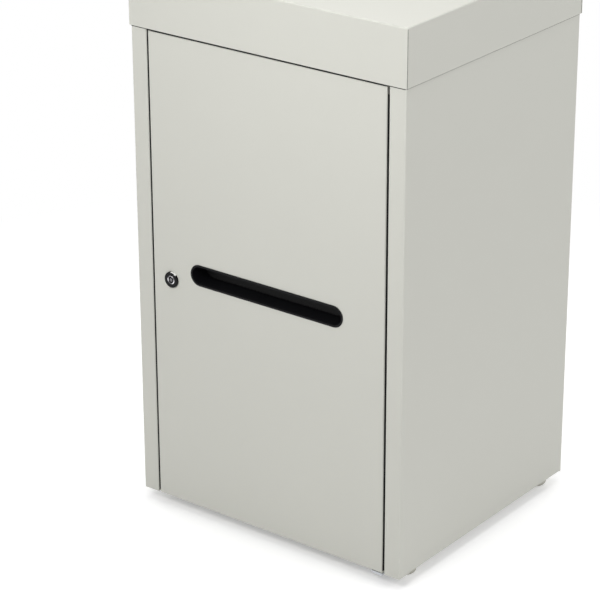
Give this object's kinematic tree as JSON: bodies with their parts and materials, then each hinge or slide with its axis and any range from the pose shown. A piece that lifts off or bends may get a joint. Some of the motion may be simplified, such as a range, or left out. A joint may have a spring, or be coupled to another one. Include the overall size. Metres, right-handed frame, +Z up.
{
  "type": "secure shredding console",
  "caption": "Upright steel cabinet with a flush locked door, a round-ended paper slot with an inner flap, an overlapping cap, low feet and a lift-out collection bin.",
  "frame": {"origin": "on the floor, under the centre of the cabinet's outline", "axes": "+Z up, the door faces -Y, +X to the right as seen from the front"},
  "size_m": [0.403, 0.3656, 0.7],
  "materials": {
    "paint": "light warm grey powder coat, satin, very fine texture",
    "black_paint": "black powder coat, matt",
    "zinc": "zinc plated steel",
    "chrome": "polished nickel on the key cylinder",
    "black_plastic": "black moulded plastic, satin",
    "lock_black": "black lacquered die casting",
    "nylon": "natural acetal",
    "foot_plastic": "warm grey moulded plastic",
    "rubber": "black rubber",
    "bin_plastic": "dark grey polypropylene, fine grain"
  },
  "bodies": {
    "cabinet": {"left_side_panel": "paint", "right_side_panel": "paint", "back_panel": "paint", "base_pan": "paint", "header_rail": "paint", "top_cap": "paint", "cap_channel": "paint", "cap_screws": "zinc", "cap_rivets": "zinc", "back_rivets": "zinc", "left_bin_guide": "paint", "right_bin_guide": "paint", "front_left_foot": "foot_plastic", "front_right_foot": "foot_plastic", "rear_left_foot": "foot_plastic", "rear_right_foot": "foot_plastic", "foot_screws": "zinc", "foot_nuts": "zinc", "upper_pivot_plate": "zinc", "lower_pivot_plate": "zinc", "upper_pivot_pin": "zinc", "lower_pivot_pin": "zinc", "pivot_screws": "zinc", "lock_strike": "zinc", "strike_rivets": "zinc", "door_bumpers": "rubber"},
    "door": {"door_panel": "paint", "upper_stiffener": "paint", "lower_stiffener": "paint", "upper_bush": "nylon", "lower_bush": "nylon", "slot_liner": "black_plastic", "flap_hood": "black_paint", "hood_nuts": "zinc", "flap_rod": "zinc", "rod_clips": "zinc", "lock_housing": "lock_black", "lock_nut": "zinc"},
    "key_cylinder": {"lock_plug": "chrome", "lock_cam": "zinc", "cam_bolt": "zinc"},
    "flap": {"slot_flap": "black_paint"},
    "bin": {"inner_bin": "bin_plastic"}
  },
  "joints": [
    {"name": "door_swing", "type": "hinge", "parent": "cabinet", "child": "door", "pos_m": [0.1675, -0.173, 0.3212], "axis": [0, 0, 1], "range_deg": [0, 110]},
    {"name": "lock_turn", "type": "hinge", "parent": "door", "child": "key_cylinder", "pos_m": [-0.1455, -0.17, 0.316], "axis": [0, 1, 0], "range_deg": [0, 90]},
    {"name": "flap_swing", "type": "hinge", "parent": "door", "child": "flap", "pos_m": [-0.00025, -0.156, 0.35095], "axis": [1, 0, 0], "range_deg": [0, 80]},
    {"name": "bin_lift", "type": "slide", "parent": "cabinet", "child": "bin", "axis": [0, 0, 1], "range_m": [0, 0.03]}
  ]
}
